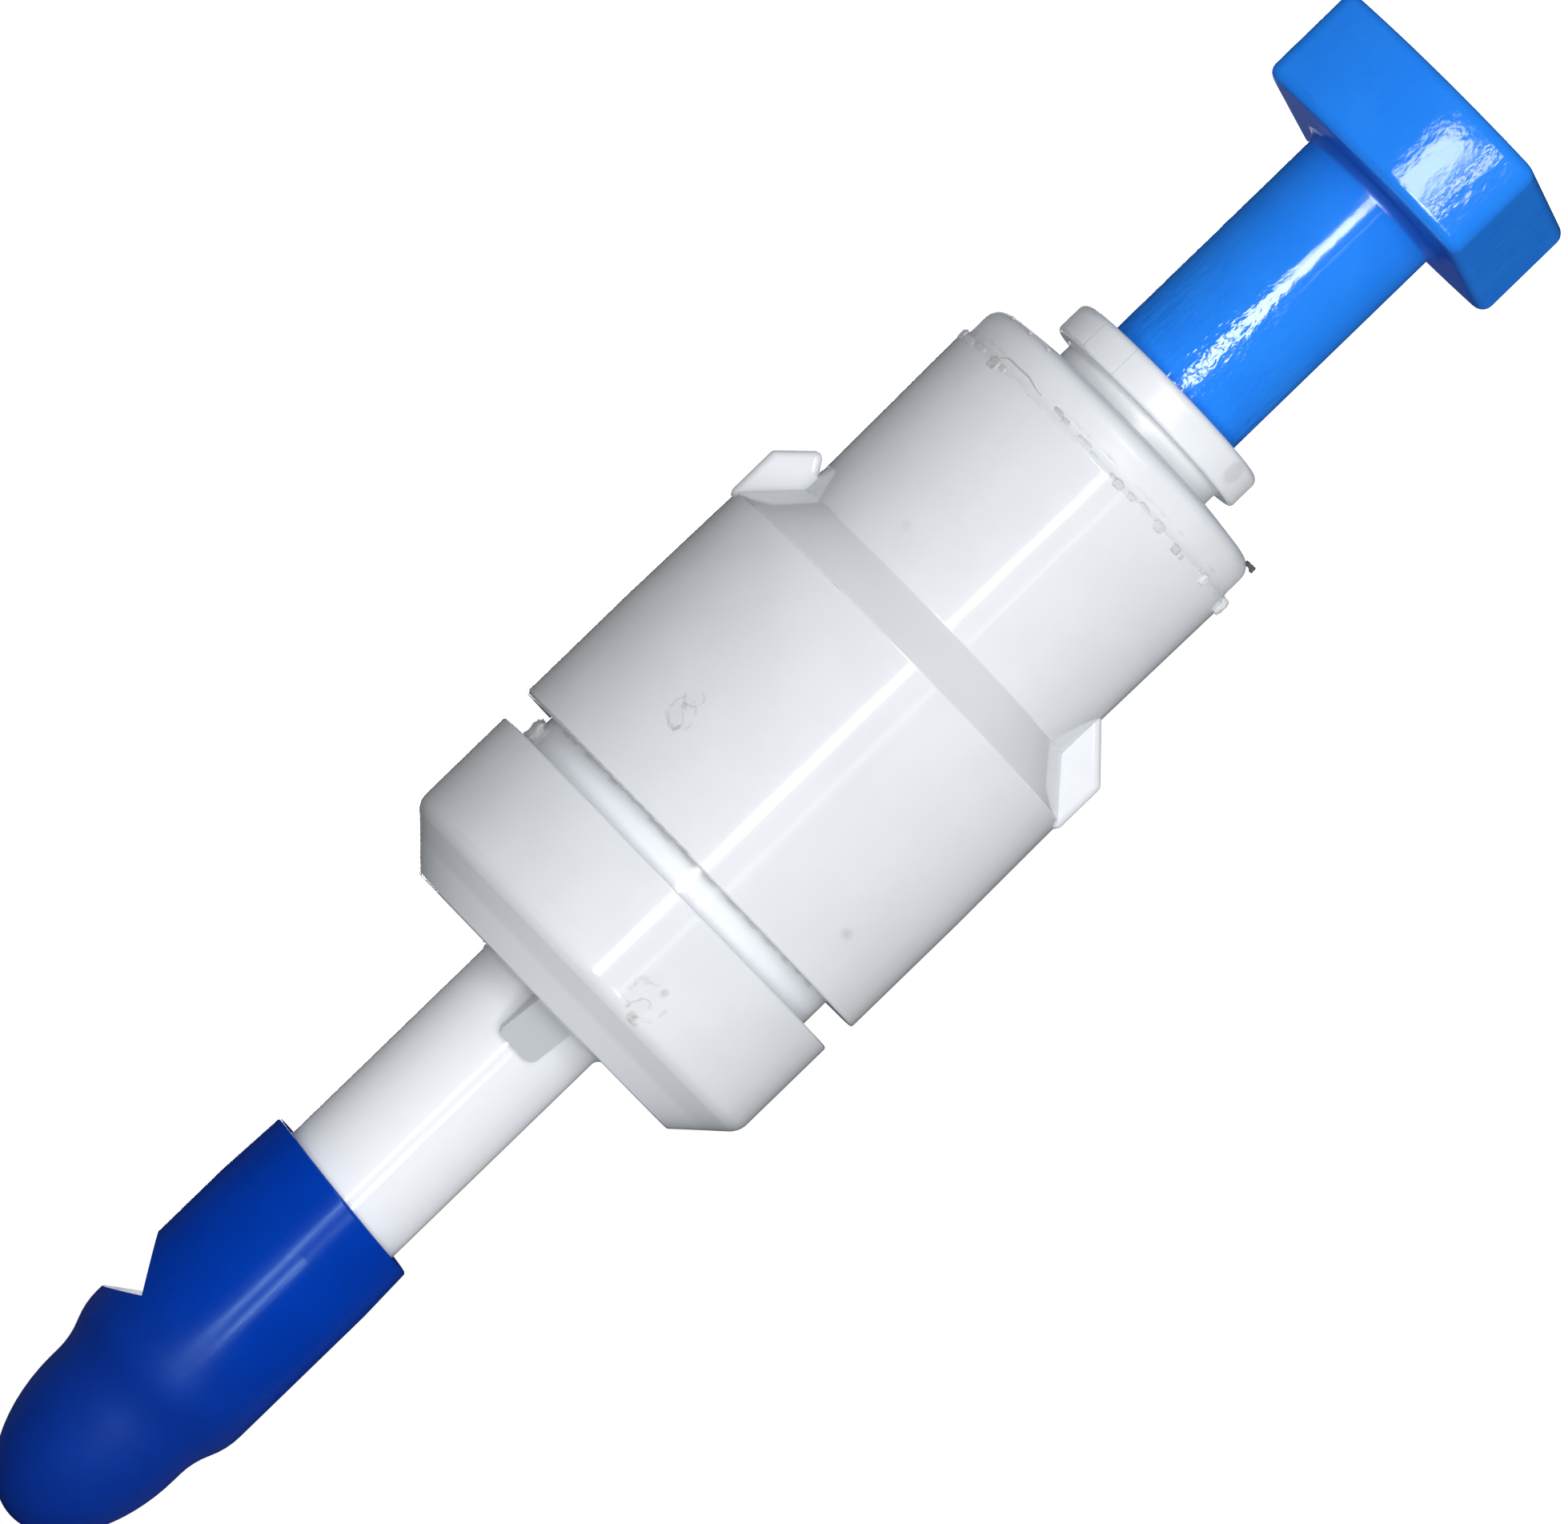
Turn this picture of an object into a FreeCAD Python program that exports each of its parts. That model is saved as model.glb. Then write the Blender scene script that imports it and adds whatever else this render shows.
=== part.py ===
"""In-line disinfection cartridge: a push-in tube socket at one end, a bed of disinfecting resin in the
barrel, and a plain stem at the other end. A square-headed plug closes the socket and a soft cap closes
the stem. Millimetres. The cartridge stands on the plug's square head: Z runs up its axis from that head
to the tip of the soft cap, X runs through the two shoulder lugs, and the origin is on the head's flat.
"""
import FreeCAD, Part
import math
import os
from FreeCAD import Vector

# Plug that closes the socket
TUBE_R = 3.175
PLUG_HEAD_SIDE = 10.2
PLUG_HEAD_CROWN = 1.25
PLUG_HEAD_HEIGHT = 4.45
PLUG_HEAD_TURN = 15.0
PLUG_CORNER_R = 0.9
PLUG_EDGE_R = 0.5
PLUG_ROOT_R = 0.45
PLUG_SHANK_SHOWING = 10.67
PLUG_CORE_R = 1.7
PLUG_CORE_DEPTH = 17.0
PLUG_TIP_CHAMFER = 0.4
PLUG_END_GAP = 0.3

# Release collet and its steel teeth
COLLET_FLANGE_R = 4.69
COLLET_FLANGE_HEIGHT = 1.5
COLLET_FLANGE_EDGE_R = 0.35
COLLET_NECK_R = 3.93
COLLET_ROOT_R = 0.2
COLLET_STROKE = 0.75
COLLET_LEGS = 6
COLLET_SLOT = 0.8
COLLET_HEAD_STEP = 0.5
COLLET_HEAD_LAND = 0.9
TOOTH_WIDTH = 1.3
TOOTH_THICKNESS = 0.22
TOOTH_LENGTH = 0.8
TOOTH_SLOPE = 35.0

# Cam sleeve, spacer and sealing ring inside the socket
SLEEVE_R = 4.88
SLEEVE_MOUTH = 1.3
SLEEVE_EDGE_R = 0.3
CAM_HEIGHT = 1.5
SPACER_HEIGHT = 0.7
TUBE_SEAT_DEPTH = 5.2
WATERWAY_R = 2.0
BOSS_FLOOR = 0.8

# Socket cap
SOCKET_STEP = 0.23
SOCKET_RIM_HEIGHT = 1.99
SOCKET_FACE_RISE = 0.25
SOCKET_EDGE_R = 0.7

# Weld bead round the socket cap's seam
BEAD_R = 0.1

# Housing
BARREL_R = 8.81
SHOULDER_STEP = 1.78
SHOULDER_HEIGHT = 1.91
NECK_DRAFT = 0.10
NECK_LENGTH = 8.31
BARREL_TAPER = 0.08
BARREL_LENGTH = 10.96
BARREL_WALL = 1.33
NECK_WALL = 1.1
HOUSING_EDGE_R = 0.12

# Shoulder lugs
LUG_PROUD = 0.06
LUG_WIDTH = 2.5
LUG_RISE = 1.96
LUG_NOTCH = 0.47
LUG_NOTCH_DEPTH = 1.35
LUG_SINK = 0.12
LUG_EDGE_R = 0.3

# Base cap with the stem
GROOVE_WIDTH = 1.21
SPIGOT_LENGTH = 3.0
SPIGOT_WALL = 1.1
BASE_STEP = 0.11
BASE_RIM_HEIGHT = 4.56
BASE_CHAMFER_HEIGHT = 1.88
BASE_CHAMFER_RUN = 1.99
BASE_CHAMFER_R = 0.9
BASE_FLOOR = 1.7
BASE_EDGE_R = 0.12
STEM_R = 3.0
STEM_LENGTH = 15.96
STEM_BORE_R = 1.8
STEM_TIP_CHAMFER = 0.35
STEM_ROOT_R = 0.35
STEM_RIB_WIDTH = 1.8
STEM_RIB_REACH = 1.8
STEM_RIB_TIP_REACH = 0.5
STEM_RIB_HEIGHT = 2.0
STEM_RIB_TURN = 9.0
STEM_RIB_EDGE_R = 0.35

# Resin bed with its pads and flow plates
PLATE_HEIGHT = 0.8
PLATE_RIB_HEIGHT = 0.5
PLATE_RIB_WIDTH = 0.8
PLATE_RIBS = 3
PLATE_HOLE_R = 0.45
PLATE_RING_COUNTS = (6, 12)
PLATE_RING_SHARES = (0.36, 0.72)
PAD_HEIGHT = 1.0

# Soft cap on the stem
CAP_WALL = 0.83
CAP_LIP_TAPER = 0.12
CAP_LIP_LENGTH = 2.6
CAP_STEM_SHOWING = 10.5
CAP_OGEE_LENGTH = 2.6
CAP_NOSE_R = 3.3
CAP_NOSE_LENGTH = 5.35
CAP_NOSE_LAND = 0.3
CAP_END_GAP = 0.3
CAP_RIM_SLANT = 5.3
CAP_RIM_EDGE_R = 0.12
NICK_DEPTH = 1.33
NICK_NEAR = 2.05
NICK_FAR = 0.92
NICK_AFTER_STEM = 0.44
NICK_TO_TAPER = 0.25

# Clearances
SLIDE_GAP = 0.05
GRIP_GAP = 0.03
PRESS_GAP = 0.02
SEAT_GAP = 0.05
STOP_GAP = 0.25

# Heights along the axis, worked out from the lengths above
Z_COLLET = PLUG_HEAD_HEIGHT + PLUG_SHANK_SHOWING
Z_COLLET_NECK = Z_COLLET + COLLET_FLANGE_HEIGHT
Z_FACE = Z_COLLET_NECK + COLLET_STROKE
Z_SEAM = Z_FACE + SOCKET_RIM_HEIGHT
Z_NECK_ROOT = Z_SEAM + NECK_LENGTH
Z_BARREL = Z_NECK_ROOT + SHOULDER_HEIGHT
Z_BARREL_END = Z_BARREL + BARREL_LENGTH
Z_BASE = Z_BARREL_END + GROOVE_WIDTH
Z_CHAMFER = Z_BASE + BASE_RIM_HEIGHT
Z_BASE_FACE = Z_CHAMFER + BASE_CHAMFER_HEIGHT
Z_STEM_TIP = Z_BASE_FACE + STEM_LENGTH
Z_CAM = Z_FACE + SLEEVE_MOUTH
Z_LEG_TIP = Z_CAM + SLIDE_GAP + CAM_HEIGHT + COLLET_HEAD_LAND
Z_SPACER = Z_LEG_TIP + COLLET_STROKE + STOP_GAP
Z_RING = Z_SPACER + SPACER_HEIGHT + PRESS_GAP
RING_SECTION = SLEEVE_R - TUBE_R - GRIP_GAP
Z_TUBE_SEAT = Z_RING + RING_SECTION + PRESS_GAP
Z_TUBE_STOP = Z_TUBE_SEAT + TUBE_SEAT_DEPTH
Z_BOSS_END = Z_TUBE_STOP + BOSS_FLOOR
Z_INNER_PLATE = Z_BOSS_END + SEAT_GAP
Z_INNER_PAD = Z_INNER_PLATE + PLATE_RIB_HEIGHT + PLATE_HEIGHT + SEAT_GAP
Z_BED = Z_INNER_PAD + PAD_HEIGHT + SEAT_GAP
Z_SPIGOT = Z_BARREL_END - SPIGOT_LENGTH
Z_CAVITY_END = Z_BASE_FACE - BASE_FLOOR
Z_OUTER_PLATE = Z_CAVITY_END - SEAT_GAP
Z_OUTER_PAD = Z_OUTER_PLATE - PLATE_RIB_HEIGHT - PLATE_HEIGHT - SEAT_GAP
Z_BED_END = Z_OUTER_PAD - PAD_HEIGHT - SEAT_GAP
Z_CAP_RIM = Z_BASE_FACE + CAP_STEM_SHOWING

# Radii worked out from those above
MOUTH_R = COLLET_NECK_R + SLIDE_GAP
COLLET_HEAD_R = COLLET_NECK_R + COLLET_HEAD_STEP
SLEEVE_WIDE_R = COLLET_HEAD_R + SLIDE_GAP
SOCKET_BORE_R = SLEEVE_R + PRESS_GAP
TUBE_BORE_R = TUBE_R + SLIDE_GAP
NECK_ROOT_R = BARREL_R - SHOULDER_STEP
NECK_TOP_R = NECK_ROOT_R + NECK_DRAFT
SOCKET_RIM_R = NECK_TOP_R - SOCKET_STEP
NECK_BORE_R = NECK_ROOT_R - NECK_WALL
LUG_R = BARREL_R + LUG_PROUD
BASE_R = BARREL_R - BASE_STEP
BOSS_R = NECK_BORE_R - SLIDE_GAP
BARREL_BORE_R = BARREL_R - BARREL_WALL
SPIGOT_R = BARREL_BORE_R - PRESS_GAP
CAVITY_R = SPIGOT_R - SPIGOT_WALL
CAP_BORE_R = STEM_R + GRIP_GAP
CAP_R = CAP_BORE_R + CAP_WALL

UP = Vector(0, 0, 1)
ORIGIN = Vector(0, 0, 0)


def point(r, z):
    """A point of a turned profile, drawn in the XZ plane."""
    return Vector(r, 0, z)


def turned(edges):
    """The solid that a closed outline of edges sweeps round the axis."""
    return Part.Face(Part.Wire(edges)).revolve(ORIGIN, UP, 360)


def outline(corners):
    """Edges through (r, z, fillet) corners, closed, with a tangent arc at each corner that has a fillet."""
    entries = []
    count = len(corners)
    for i, (r, z, fillet) in enumerate(corners):
        here = point(r, z)
        before = point(*corners[i - 1][:2]) - here
        after = point(*corners[(i + 1) % count][:2]) - here
        if not fillet:
            entries.append((here, None, here))
            continue
        half = before.getAngle(after) / 2
        before.normalize()
        after.normalize()
        cut = fillet / math.tan(half)
        middle = before + after
        middle.normalize()
        crest = here + middle * (fillet / math.sin(half) - fillet)
        entries.append((here + before * cut, crest, here + after * cut))
    edges = []
    for i, (start, crest, end) in enumerate(entries):
        if crest:
            edges.append(Part.Arc(start, crest, end).toShape())
        following = entries[(i + 1) % count][0]
        edges.append(Part.LineSegment(end, following).toShape())
    return edges


def ogee(r0, z0, r1, z1):
    """Two equal arcs that step from one radius to another and leave both ends parallel to the axis."""
    step = r1 - r0
    length = z1 - z0
    radius = (length**2 + step**2) / (4 * abs(step))
    half_turn = math.asin(length / (2 * radius)) / 2
    in_r = math.copysign(radius * (1 - math.cos(half_turn)), step)
    in_z = radius * math.sin(half_turn)
    middle = point((r0 + r1) / 2, (z0 + z1) / 2)
    first = Part.Arc(point(r0, z0), point(r0 + in_r, z0 + in_z), middle)
    second = Part.Arc(middle, point(r1 - in_r, z1 - in_z), point(r1, z1))
    return [first.toShape(), second.toShape()]


def nose(r, z, length):
    """A quarter of an ellipse from radius r at height z to a rounded end on the axis."""
    ellipse = Part.Ellipse(point(0, z + length), point(r, z), point(0, z))
    arc = Part.ArcOfEllipse(ellipse, 0, math.pi / 2)
    ends = [arc.StartPoint, arc.EndPoint]
    if min((end - point(r, z)).Length for end in ends) > 1e-6:
        arc = Part.ArcOfEllipse(ellipse, 3 * math.pi / 2, 2 * math.pi)
    return arc.toShape()


def line(r0, z0, r1, z1):
    return Part.LineSegment(point(r0, z0), point(r1, z1)).toShape()


def cylinder(r, z0, z1):
    return Part.makeCylinder(r, z1 - z0, Vector(0, 0, z0))


def ring(outer, inner, z0, z1):
    return cylinder(outer, z0, z1).cut(cylinder(inner, z0, z1))


def turn(shape, degrees):
    """A copy of the shape turned about the axis."""
    copy = shape.copy()
    copy.rotate(ORIGIN, UP, degrees)
    return copy


def around(shape, count):
    """Equal copies of the shape spread round the axis."""
    return [turn(shape, 360.0 * i / count) for i in range(count)]


def slab(corners, width):
    """A flat plate of the given width across Y, cut to an outline of (x, z) corners."""
    points = [Vector(x, -width / 2, z) for x, z in corners]
    face = Part.Face(Part.makePolygon(points + points[:1]))
    return face.extrude(Vector(0, width, 0))


def make_head():
    """Head of the plug: square, with two flat sides to grip and two crowned ones, and rounded edges."""
    half = PLUG_HEAD_SIDE / 2
    left_low, right_low = Vector(-half, -half, 0), Vector(half, -half, 0)
    right_high, left_high = Vector(half, half, 0), Vector(-half, half, 0)
    crown = Vector(0, half + PLUG_HEAD_CROWN, 0)
    sides = [
        Part.Arc(left_low, -crown, right_low).toShape(),
        Part.makeLine(right_low, right_high),
        Part.Arc(right_high, crown, left_high).toShape(),
        Part.makeLine(left_high, left_low),
    ]
    head = Part.Face(Part.Wire(sides)).extrude(Vector(0, 0, PLUG_HEAD_HEIGHT))
    upright = [e for e in head.Edges if abs(e.tangentAt(e.FirstParameter).z) > 0.9]
    head = head.makeFillet(PLUG_CORNER_R, upright)
    rims = [e for e in head.Edges if abs(e.BoundBox.ZLength) < 1e-6]
    return turn(head.makeFillet(PLUG_EDGE_R, rims), PLUG_HEAD_TURN)


def make_plug():
    """The head, and a round shank cored from its inner end."""
    end = Z_TUBE_STOP - PLUG_END_GAP
    shank = turned(outline([
        (0, PLUG_HEAD_HEIGHT / 2, 0),
        (TUBE_R, PLUG_HEAD_HEIGHT / 2, 0),
        (TUBE_R, end - PLUG_TIP_CHAMFER, 0),
        (TUBE_R - PLUG_TIP_CHAMFER, end, 0),
        (PLUG_CORE_R, end, 0),
        (PLUG_CORE_R, end - PLUG_CORE_DEPTH, 0),
        (0, end - PLUG_CORE_DEPTH, 0),
    ]))
    plug = make_head().fuse(shank).removeSplitter()
    roots = [
        e for e in plug.Edges
        if isinstance(e.Curve, Part.Circle) and abs(e.Curve.Radius - TUBE_R) < 1e-6
        and abs(e.Curve.Center.z - PLUG_HEAD_HEIGHT) < 1e-6
    ]
    return plug.makeFillet(PLUG_ROOT_R, roots)


def make_tooth():
    """One steel tooth: a thin leaning plate whose edge points inwards, the way the plug goes in."""
    lean = math.radians(TOOTH_SLOPE)
    along = (-math.cos(lean), math.sin(lean))
    across = (math.sin(lean), math.cos(lean))
    tip = (TUBE_R + GRIP_GAP, Z_LEG_TIP - COLLET_HEAD_LAND / 2)
    corners = []
    for back, side in ((0, 0), (TOOTH_LENGTH, 0), (TOOTH_LENGTH, 1), (0, 1)):
        corners.append((
            tip[0] - along[0] * back + across[0] * TOOTH_THICKNESS * side,
            tip[1] - along[1] * back + across[1] * TOOTH_THICKNESS * side,
        ))
    return slab(corners, TOOTH_WIDTH)


def make_teeth():
    return around(make_tooth(), COLLET_LEGS)


def make_collet(teeth):
    """Flanged collet with split legs whose heads are pulled into the sleeve's cam."""
    cam = Z_CAM + SLIDE_GAP
    body = turned(outline([
        (TUBE_BORE_R, Z_COLLET, 0.2),
        (COLLET_FLANGE_R, Z_COLLET, COLLET_FLANGE_EDGE_R),
        (COLLET_FLANGE_R, Z_COLLET_NECK, COLLET_FLANGE_EDGE_R / 2),
        (COLLET_NECK_R, Z_COLLET_NECK, COLLET_ROOT_R),
        (COLLET_NECK_R, cam, 0),
        (COLLET_HEAD_R, cam + CAM_HEIGHT, 0),
        (COLLET_HEAD_R, Z_LEG_TIP, 0.1),
        (TUBE_BORE_R, Z_LEG_TIP, 0.1),
    ]))
    slot_start = Z_FACE + SLEEVE_MOUTH / 2
    slot_corner = Vector(0, -COLLET_SLOT / 2, slot_start)
    slot = Part.makeBox(2 * COLLET_HEAD_R, COLLET_SLOT, Z_SPACER - slot_start, slot_corner)
    slot = turn(slot, 180.0 / COLLET_LEGS)
    return body.cut(around(slot, COLLET_LEGS) + teeth)


def make_sleeve():
    """Sleeve pressed into the socket: a narrow mouth for the collet's neck and a cam for its heads."""
    return turned(outline([
        (MOUTH_R, Z_FACE, SLEEVE_EDGE_R),
        (SLEEVE_R, Z_FACE, 0),
        (SLEEVE_R, Z_SPACER, 0),
        (SLEEVE_WIDE_R, Z_SPACER, 0),
        (SLEEVE_WIDE_R, Z_CAM + CAM_HEIGHT, 0),
        (MOUTH_R, Z_CAM, 0),
    ]))


def make_spacer():
    return ring(SLEEVE_R, TUBE_BORE_R, Z_SPACER + PRESS_GAP / 2, Z_SPACER + SPACER_HEIGHT)


def make_sealing_ring():
    """Round-section rubber ring between the tube and the socket's bore."""
    section_r = RING_SECTION / 2
    return Part.makeTorus(SLEEVE_R - section_r, section_r, Vector(0, 0, Z_RING + section_r))


def make_weld_bead():
    """Round bead of melted plastic squeezed out of the seam."""
    return Part.makeTorus(SOCKET_RIM_R, BEAD_R, Vector(0, 0, Z_SEAM - BEAD_R))


def make_socket_cap():
    """Round cap welded into the neck, with the deep boss that holds the push-in socket."""
    body = turned(outline([
        (SOCKET_BORE_R, Z_FACE, 0),
        (SOCKET_RIM_R, Z_FACE + SOCKET_FACE_RISE, SOCKET_EDGE_R),
        (SOCKET_RIM_R, Z_SEAM, 0),
        (BOSS_R, Z_SEAM, 0),
        (BOSS_R, Z_BOSS_END, 0.3),
        (WATERWAY_R, Z_BOSS_END, 0.2),
        (WATERWAY_R, Z_TUBE_STOP, 0),
        (TUBE_BORE_R, Z_TUBE_STOP, 0),
        (TUBE_BORE_R, Z_TUBE_SEAT, 0.15),
        (SOCKET_BORE_R, Z_TUBE_SEAT, 0),
    ]))
    return body.fuse(make_weld_bead()).removeSplitter()


def make_lug(notch):
    """Rounded lug that stands up from the shoulder. A notch, if any, parts its tip from the neck."""
    top = Z_BARREL - SHOULDER_HEIGHT - LUG_RISE
    bottom = Z_BARREL + LUG_EDGE_R
    inner = NECK_BORE_R + NECK_WALL / 2
    root = top + LUG_NOTCH_DEPTH if notch else top
    corners = [
        ((BARREL_R + BARREL_BORE_R) / 2, bottom),
        (LUG_R, bottom),
        (LUG_R, top + LUG_R - NECK_ROOT_R),
        (NECK_ROOT_R + notch, top + notch),
        (NECK_ROOT_R - LUG_SINK, root),
        (inner, root),
        (inner, Z_NECK_ROOT),
    ]
    lug = slab(corners, LUG_WIDTH)
    outside = [
        e for e in lug.Edges
        if e.BoundBox.XMin > NECK_ROOT_R - 2 * LUG_SINK and e.BoundBox.XMax > NECK_ROOT_R + LUG_SINK
    ]
    return lug.makeFillet(LUG_EDGE_R, outside)


def make_housing():
    """Stepped shell: the neck round the socket boss, a chamfered shoulder with two lugs, and the barrel."""
    inner_shoulder = Z_NECK_ROOT + NECK_WALL / 2
    rise = SHOULDER_HEIGHT
    shell = turned(outline([
        (NECK_BORE_R, Z_SEAM, 0),
        (NECK_TOP_R, Z_SEAM, HOUSING_EDGE_R),
        (NECK_ROOT_R, Z_NECK_ROOT, 0.15),
        (BARREL_R - BARREL_TAPER, Z_BARREL, 0.15),
        (BARREL_R, Z_BARREL + BARREL_LENGTH / 2, 0),
        (BARREL_R, Z_BARREL_END, HOUSING_EDGE_R),
        (BARREL_BORE_R, Z_BARREL_END, 0),
        (BARREL_BORE_R, inner_shoulder + rise, 0),
        (NECK_BORE_R, inner_shoulder, 0),
    ]))
    return shell.fuse([make_lug(LUG_NOTCH), turn(make_lug(0), 180)]).removeSplitter()


def make_stem_rib():
    """Sloping rib between the base cap's face and the stem."""
    inner = (STEM_R + STEM_BORE_R) / 2
    outer = STEM_R + STEM_RIB_REACH
    rib = slab([
        (inner, Z_BASE_FACE - BASE_FLOOR / 2),
        (outer, Z_BASE_FACE - BASE_FLOOR / 2),
        (outer, Z_BASE_FACE),
        (STEM_R + STEM_RIB_TIP_REACH, Z_BASE_FACE + STEM_RIB_HEIGHT),
        (inner, Z_BASE_FACE + STEM_RIB_HEIGHT),
    ], STEM_RIB_WIDTH)
    ends = [
        e for e in rib.Edges
        if e.BoundBox.ZMin > Z_BASE_FACE and e.BoundBox.XMax > STEM_R + 0.2 and e.BoundBox.XLength > 0.1
    ]
    rib = rib.makeFillet(STEM_RIB_EDGE_R, ends)
    return turn(rib, -90 - STEM_RIB_TURN)


def make_base_cap():
    """Cup-shaped cap welded into the barrel, with the stem and its rib."""
    body = turned(outline([
        (CAVITY_R, Z_SPIGOT, 0),
        (SPIGOT_R, Z_SPIGOT, 0.3),
        (SPIGOT_R, Z_BASE, 0),
        (BASE_R, Z_BASE, BASE_EDGE_R),
        (BASE_R, Z_CHAMFER, BASE_CHAMFER_R),
        (BASE_R - BASE_CHAMFER_RUN, Z_BASE_FACE, 0.2),
        (STEM_R, Z_BASE_FACE, STEM_ROOT_R),
        (STEM_R, Z_STEM_TIP - STEM_TIP_CHAMFER, 0),
        (STEM_R - STEM_TIP_CHAMFER, Z_STEM_TIP, 0),
        (STEM_BORE_R, Z_STEM_TIP, 0),
        (STEM_BORE_R, Z_CAVITY_END, 0.3),
        (CAVITY_R, Z_CAVITY_END, 0.4),
    ]))
    return body.fuse(make_stem_rib()).removeSplitter()


def make_flow_plate(radius, rib_side, flat_side):
    """Drilled disc with radial ribs that hold it off the wall behind it."""
    low, high = sorted((rib_side, flat_side))
    face = rib_side + math.copysign(PLATE_RIB_HEIGHT, flat_side - rib_side)
    disc_low, disc_high = sorted((face, flat_side))
    disc = cylinder(radius, disc_low, disc_high)
    rib_low, rib_high = sorted((rib_side, face))
    start = WATERWAY_R + 2 * PLATE_HOLE_R
    corner = Vector(start, -PLATE_RIB_WIDTH / 2, rib_low)
    rib = Part.makeBox(radius - PLATE_HOLE_R - start, PLATE_RIB_WIDTH, rib_high - rib_low, corner)
    holes = [cylinder(PLATE_HOLE_R, low, high)]
    for count, share in zip(PLATE_RING_COUNTS, PLATE_RING_SHARES):
        hole = Part.makeCylinder(PLATE_HOLE_R, high - low, Vector(radius * share, 0, low))
        holes += around(turn(hole, 180.0 / count), count)
    return disc.fuse(around(rib, PLATE_RIBS)).removeSplitter().cut(holes)


def make_bed():
    """The packed resin: it fills the barrel down to the base cap's spigot, and then the cap's cavity."""
    wide = BARREL_BORE_R - SEAT_GAP
    narrow = CAVITY_R - SEAT_GAP
    return turned(outline([
        (0, Z_BED, 0),
        (wide, Z_BED, 0),
        (wide, Z_SPIGOT - SEAT_GAP, 0),
        (narrow, Z_SPIGOT - SEAT_GAP, 0),
        (narrow, Z_BED_END, 0),
        (0, Z_BED_END, 0),
    ]))


def make_stem_cap():
    """Soft sleeve with a slanted rim, a V nick in one side and a solid rounded nose."""
    rim = Z_CAP_RIM
    lip_r = CAP_R - CAP_LIP_TAPER
    lip_end = rim + CAP_LIP_LENGTH
    nick_z = Z_STEM_TIP + NICK_AFTER_STEM + NICK_NEAR
    ogee_start = nick_z + NICK_FAR + NICK_TO_TAPER
    ogee_end = ogee_start + CAP_OGEE_LENGTH
    nose_start = ogee_end + CAP_NOSE_LAND
    nose_end = nose_start + CAP_NOSE_LENGTH
    bore_end = Z_STEM_TIP + CAP_END_GAP
    drop = CAP_R * math.tan(math.radians(CAP_RIM_SLANT))
    low = rim - drop
    cap = turned([
        line(CAP_BORE_R, low, lip_r, low),
        line(lip_r, low, CAP_R, lip_end),
        line(CAP_R, lip_end, CAP_R, ogee_start),
        *ogee(CAP_R, ogee_start, CAP_NOSE_R, ogee_end),
        line(CAP_NOSE_R, ogee_end, CAP_NOSE_R, nose_start),
        nose(CAP_NOSE_R, nose_start, CAP_NOSE_LENGTH),
        line(0, nose_end, 0, bore_end),
        line(0, bore_end, CAP_BORE_R, bore_end),
        line(CAP_BORE_R, bore_end, CAP_BORE_R, low),
    ])
    trim = Part.makeBox(4 * CAP_R, 4 * CAP_R, CAP_R, Vector(-2 * CAP_R, -2 * CAP_R, -CAP_R))
    trim.rotate(ORIGIN, Vector(0, 1, 0), CAP_RIM_SLANT)
    trim.translate(Vector(0, 0, rim))
    apex = CAP_R - NICK_DEPTH
    nick = slab([
        (apex, nick_z),
        (apex + 2 * NICK_DEPTH, nick_z - 2 * NICK_NEAR),
        (apex + 2 * NICK_DEPTH, nick_z + 2 * NICK_FAR),
    ], 2 * CAP_R)
    cap = cap.cut([trim, nick])
    lip = [
        e for e in cap.Edges
        if e.BoundBox.ZMax < lip_end and e.BoundBox.XLength > CAP_BORE_R + lip_r
    ]
    return cap.makeFillet(CAP_RIM_EDGE_R, lip)


def main():
    teeth = make_teeth()
    wide = BARREL_BORE_R - SEAT_GAP
    narrow = CAVITY_R - SEAT_GAP
    parts = {
        "shipping_plug": make_plug(),
        "collet": make_collet(teeth),
        "collet_sleeve": make_sleeve(),
        "ring_spacer": make_spacer(),
        "sealing_ring": make_sealing_ring(),
        "socket_cap": make_socket_cap(),
        "housing": make_housing(),
        "base_cap": make_base_cap(),
        "inner_flow_plate": make_flow_plate(wide, Z_INNER_PLATE, Z_INNER_PAD - SEAT_GAP),
        "inner_filter_pad": cylinder(wide, Z_INNER_PAD, Z_INNER_PAD + PAD_HEIGHT),
        "resin_bed": make_bed(),
        "outer_filter_pad": cylinder(narrow, Z_OUTER_PAD - PAD_HEIGHT, Z_OUTER_PAD),
        "outer_flow_plate": make_flow_plate(narrow, Z_OUTER_PLATE, Z_OUTER_PAD + SEAT_GAP),
        "stem_cap": make_stem_cap(),
    }
    for number, tooth in enumerate(teeth, 1):
        parts[f"grip_tooth_{number}"] = tooth
    os.makedirs("parts", exist_ok=True)
    for name, shape in parts.items():
        shape.exportStep(f"parts/{name}.step")
        print(name, shape.isValid(), len(shape.Solids), round(shape.Volume, 2))


main()
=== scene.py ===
"""Looks of an in-line disinfection cartridge, in metres, round its solids. It stands on the square head
of its plug, Z runs up its axis to the tip of the soft cap, and X runs through the two shoulder lugs."""
import math

import bpy
import numpy as np
from mathutils import Matrix, Vector


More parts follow.
